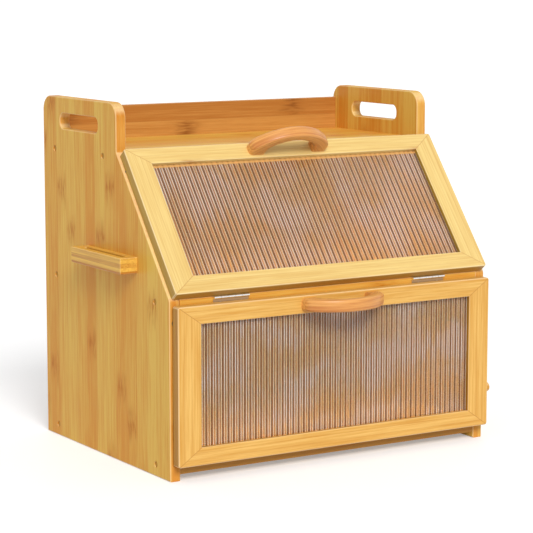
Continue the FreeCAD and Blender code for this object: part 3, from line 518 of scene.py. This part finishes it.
def ribbed_acrylic():
    """Clear acrylic with painted highlight lines on the ribs' flanks and painted shade in the
    valleys between the ribs.
    """
    material, t, shader = new_material("reeded_acrylic")
    at = t.add("ShaderNodeSeparateXYZ", {0: t.add("ShaderNodeTexCoord").outputs["Object"]}).outputs
    ribs = t.math("MULTIPLY_ADD", at[0], rib_count / pane_width, 0.5)
    middle = t.math("ABSOLUTE", t.math("SUBTRACT", t.math("FRACT", ribs), 0.5))
    line = t.math("SUBTRACT", 1.0, t.math("DIVIDE", t.math(
        "ABSOLUTE", t.math("SUBTRACT", middle, highlight_at)), highlight_half), clamp=True)
    valley = t.spread(middle, valley_start, valley_full, smooth=True)
    # painted light: slow patches of warm and cool light, which each rib bends its own way
    own = t.add("ShaderNodeTexWhiteNoise", {"W": t.math("FLOOR", ribs)}, noise_dimensions="1D")
    level = t.math("MULTIPLY_ADD", own.outputs["Value"], rib_shift, at[2])
    patches = t.noise(t.xyz(at[0], 0.0, t.math("MULTIPLY", level, patch_squash)), patch_scale)
    cool = t.spread(patches, 0.36, 0.64, smooth=True)
    painted_light_share = t.math("MULTIPLY_ADD", line, t.spread(cool, 0.0, 1.0, 0.50, 0.74), 0.05)
    # painted shade: the valleys turn dark brown and less clear
    painted_light_share = t.math("MULTIPLY_ADD", valley, 0.4, painted_light_share)
    colour = t.mix(valley, t.mix(cool, warm_crown, cool_crown), valley_shade)
    colour = t.mix(line, colour, t.mix(cool, warm_highlight, cool_highlight))
    # painted reflection: the door's top rail shows in the ends of its ribs
    place, _, height, rail = fronts["door"]
    under_rail = (place @ Vector((0, (height - rail) * MM, pane_back))).z
    rail_reflection_share = t.spread(at[2], under_rail - rail_reflection_reach[0], under_rail - rail_reflection_reach[1])
    colour = t.mix(rail_reflection_share, colour, rail_reflection)
    painted_light_share = t.math("MAXIMUM", painted_light_share, t.math("MULTIPLY", rail_reflection_share, 0.75))
    t.tree.links.new(colour, shader.inputs["Base Color"])
    shader.inputs["Specular IOR Level"].default_value = 0.3
    t.tree.links.new(t.math("SUBTRACT", 1.0, painted_light_share), shader.inputs["Transmission Weight"])
    shader.inputs["Roughness"].default_value = 0.06
    shader.inputs["IOR"].default_value = 1.49
    # lamps shine through it
    clear = t.add("ShaderNodeBsdfTransparent", {"Color": shadow_tint})
    path = t.add("ShaderNodeLightPath").outputs["Is Shadow Ray"]
    mixed = t.add("ShaderNodeMixShader", {0: path, 1: shader.outputs[0], 2: clear.outputs[0]})
    output = [n for n in t.tree.nodes if n.type == "OUTPUT_MATERIAL"][0]
    t.tree.links.new(mixed.outputs[0], output.inputs["Surface"])
    return material


acrylic = ribbed_acrylic()


def finish_mesh(name, mesh, material, place=None):
    """Turns a bmesh into an object in the CAD's frame."""
    data = bpy.data.meshes.new(name)
    if place is not None:
        mesh.transform(place)
    mesh.to_mesh(data)
    mesh.free()
    data.materials.append(material)
    piece = bpy.data.objects.new(name, data)
    bpy.context.scene.collection.objects.link(piece)
    return piece


def rib_rise(share, pitch):
    """A circular arc over one rib, 0 at its edges and 1 in the middle."""
    radius = (pitch ** 2 / 4 + rib_height ** 2) / (2 * rib_height)
    x = (share - 0.5) * pitch
    return (math.sqrt(radius ** 2 - x ** 2) - radius + rib_height) / rib_height


def ribbed_pane(name, node, place, width, foot, head):
    """A clear sheet with upright ribs on its front, in a front's flat frame."""
    pitch = width / rib_count
    front = pane_back + pane_sheet
    line = []
    for i in range(rib_count):
        for k in range(rib_steps):
            x = -width / 2 + (i + k / rib_steps) * pitch
            line.append((x, front + rib_height * rib_rise(k / rib_steps, pitch)))
    line.append((width / 2, front))
    outline = line + [(width / 2, pane_back), (-width / 2, pane_back)]
    mesh = bmesh.new()
    rows = [[mesh.verts.new((x, y, z)) for x, z in outline] for y in (foot, head)]
    count = len(outline)
    for i in range(count):
        j = (i + 1) % count
        face = mesh.faces.new((rows[0][i], rows[0][j], rows[1][j], rows[1][i]))
        face.smooth = i < len(line) - 1     # the ribs, but not the flat sides and back
    for row in rows:
        mesh.faces.new(row)
    bmesh.ops.recalc_face_normals(mesh, faces=mesh.faces)
    for edge in mesh.edges:
        if len(edge.link_faces) == 2 and edge.calc_face_angle(0) > rib_crease:
            edge.smooth = False
    piece = finish_mesh(name, mesh, acrylic, place)
    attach(piece, body_of(nodes[node])[0])
    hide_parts(node)


for part, (place, width, height, rail) in fronts.items():
    ribbed_pane(part + "_ribbed_pane", part + "_window", place,
                (width - 2 * stile_width) * MM + 2 * groove_reach,
                rail * MM - groove_reach, (height - rail) * MM + groove_reach)

# ---------------------------------------------------------------- bowed pulls


def arch_line(half, rise, straight, corner, count):
    """Evenly spaced points (x, z) from the left foot over an arch to the right foot."""
    drop = arch_drop(half, rise, straight, corner)
    centre = Vector((0, straight - drop))
    radius = rise - centre.y
    lean = math.atan2(half - corner, drop)
    foot_steps, corner_steps, crown_steps = 8, 40, 60
    dense = [Vector((half, straight * k / foot_steps)) for k in range(foot_steps)]
    for k in range(corner_steps):
        angle = (math.pi / 2 - lean) * k / corner_steps
        dense.append(Vector((half - corner, straight))
                     + corner * Vector((math.cos(angle), math.sin(angle))))
    for k in range(crown_steps + 1):
        angle = lean * (1 - k / crown_steps)
        dense.append(centre + radius * Vector((math.sin(angle), math.cos(angle))))
    dense = [Vector((-p.x, p.y)) for p in dense] + dense[-2::-1]
    lengths = [0.0]
    for a, b in zip(dense, dense[1:]):
        lengths.append(lengths[-1] + (b - a).length)
    points = []
    at = 0
    for i in range(count + 1):
        target = lengths[-1] * i / count
        while at < len(dense) - 2 and lengths[at + 1] < target:
            at += 1
        share = (target - lengths[at]) / (lengths[at + 1] - lengths[at])
        points.append(dense[at].lerp(dense[at + 1], share))
    return points


def bow_section(inner, outer, outer_edge, inner_edge):
    """A rounded rectangle across the bow, from its inner to its outer line."""
    way = outer - inner
    depth = way.length
    way.normalize()
    half = pull_width / 2
    corners = ((1, depth, outer_edge, 0), (-1, depth, outer_edge, 1),
               (-1, 0, inner_edge, 2), (1, 0, inner_edge, 3))
    steps = 6
    points = []
    for side, level, rounding, quarter in corners:
        toward = 1 if level else -1
        for k in range(steps + 1):
            angle = math.pi / 2 * (quarter + k / steps)
            across = side * (half - rounding) + rounding * math.cos(angle)
            deep = level - toward * rounding + rounding * math.sin(angle)
            flat = inner + way * deep
            points.append((flat.x, across, flat.y))
    return points


def bowed_pull(name, node, place, along, material):
    """A smooth bow standing on a rail, its edges rounder towards the feet."""
    stations = 96
    outer = arch_line(pull_half, pull_rise, pull_straight, pull_corner, stations)
    inner = arch_line(pull_half - pull_foot, pull_rise - pull_thickness, pull_straight,
                      pull_inner_corner, stations)
    mesh = bmesh.new()
    rings = []
    for i in range(stations + 1):
        from_middle = abs(2 * i / stations - 1)
        rounding = pull_edge + pull_edge_growth * from_middle ** 3
        section = bow_section(inner[i], outer[i], rounding, pull_inner_edge)
        rings.append([mesh.verts.new(point) for point in section])
    count = len(rings[0])
    for first, second in zip(rings, rings[1:]):
        for k in range(count):
            face = mesh.faces.new((first[k], first[(k + 1) % count],
                                   second[(k + 1) % count], second[k]))
            face.smooth = True
    for ring in (rings[0], rings[-1]):
        cap = mesh.faces.new(ring)
        for edge in cap.edges:
            edge.smooth = False
    bmesh.ops.recalc_face_normals(mesh, faces=mesh.faces)
    stand = place @ Matrix.Translation((0, along, front_thickness))
    piece = finish_mesh(name, mesh, material, stand)
    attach(piece, body_of(nodes[node])[0])
    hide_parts(node)


bowed_pull("door_bow", "door_handle", door_place, door_pull_along, pull_bamboo["door"])
bowed_pull("drawer_bow", "drawer_handle", drawer_place, drawer_pull_along, pull_bamboo["drawer"])

# ---------------------------------------------------------------- floor, light and camera


def clear_sight(t):
    """1 for what the camera sees, directly, in a mirror or through something clear."""
    path = t.add("ShaderNodeLightPath").outputs
    seen = t.math("MAXIMUM", path["Is Camera Ray"], path["Is Glossy Ray"])
    return t.math("MAXIMUM", seen, path["Is Transmission Ray"])


floor_grey = (0.80, 0.80, 0.80, 1)
floor_glow = 0.32               # lifts the floor to white where it is seen
floor_half = 60.0               # metres
floor_level = -0.2 * MM         # a hair under the feet
sky_seen, sky_light = 1.0, 0.48         # the surround as it is seen, and as it lights
sun_power = 2.38
sun_width = math.radians(24)
sun_way = Vector((0.21, 0.775, -0.6))   # the way its light goes


def studio():
    """A pale floor, soft lights and a white surround."""
    mesh = bmesh.new()
    bmesh.ops.create_grid(mesh, x_segments=1, y_segments=1, size=floor_half)
    material, t, shader = new_material("pale_floor")
    shader.inputs["Base Color"].default_value = floor_grey
    shader.inputs["Roughness"].default_value = 0.6
    shader.inputs["Specular IOR Level"].default_value = 0.2
    shader.inputs["Emission Color"].default_value = (1, 1, 1, 1)
    t.tree.links.new(t.math("MULTIPLY", clear_sight(t), floor_glow),
                     shader.inputs["Emission Strength"])
    floor = finish_mesh("floor", mesh, material, Matrix.Translation((0, 0, floor_level)))

    world = bpy.data.worlds.new("studio")
    bpy.context.scene.world = world
    world.use_nodes = True
    background = world.node_tree.nodes["Background"]
    background.inputs["Color"].default_value = (1, 1, 1, 1)
    t = Tree(world.node_tree)
    t.tree.links.new(t.spread(clear_sight(t), 0.0, 1.0, sky_light, sky_seen),
                     background.inputs["Strength"])

    data = bpy.data.lights.new("key", "SUN")
    data.energy = sun_power
    data.angle = sun_width
    lamp = bpy.data.objects.new("key", data)
    lamp.rotation_mode = "QUATERNION"
    lamp.rotation_quaternion = sun_way.to_track_quat("-Z", "Y")
    bpy.context.scene.collection.objects.link(lamp)


camera_at = (-1.2588, -2.01385, 0.5451)
camera_down = math.radians(8.20)        # below the level
camera_turn = math.radians(-31.79)      # from looking along +Y, to the right
camera_lens = 139.4                     # on a sensor 36 mm wide


def camera():
    """The photograph's viewpoint: left of the front and a little above."""
    data = bpy.data.cameras.new("camera")
    data.sensor_width = 36
    data.lens = camera_lens
    data.clip_start = 0.05
    data.clip_end = 50
    eye = bpy.data.objects.new("camera", data)
    eye.location = camera_at
    eye.rotation_euler = (math.pi / 2 - camera_down, 0, camera_turn)
    bpy.context.scene.collection.objects.link(eye)
    bpy.context.scene.camera = eye


studio()
camera()
bpy.context.scene.view_settings.view_transform = "Standard"
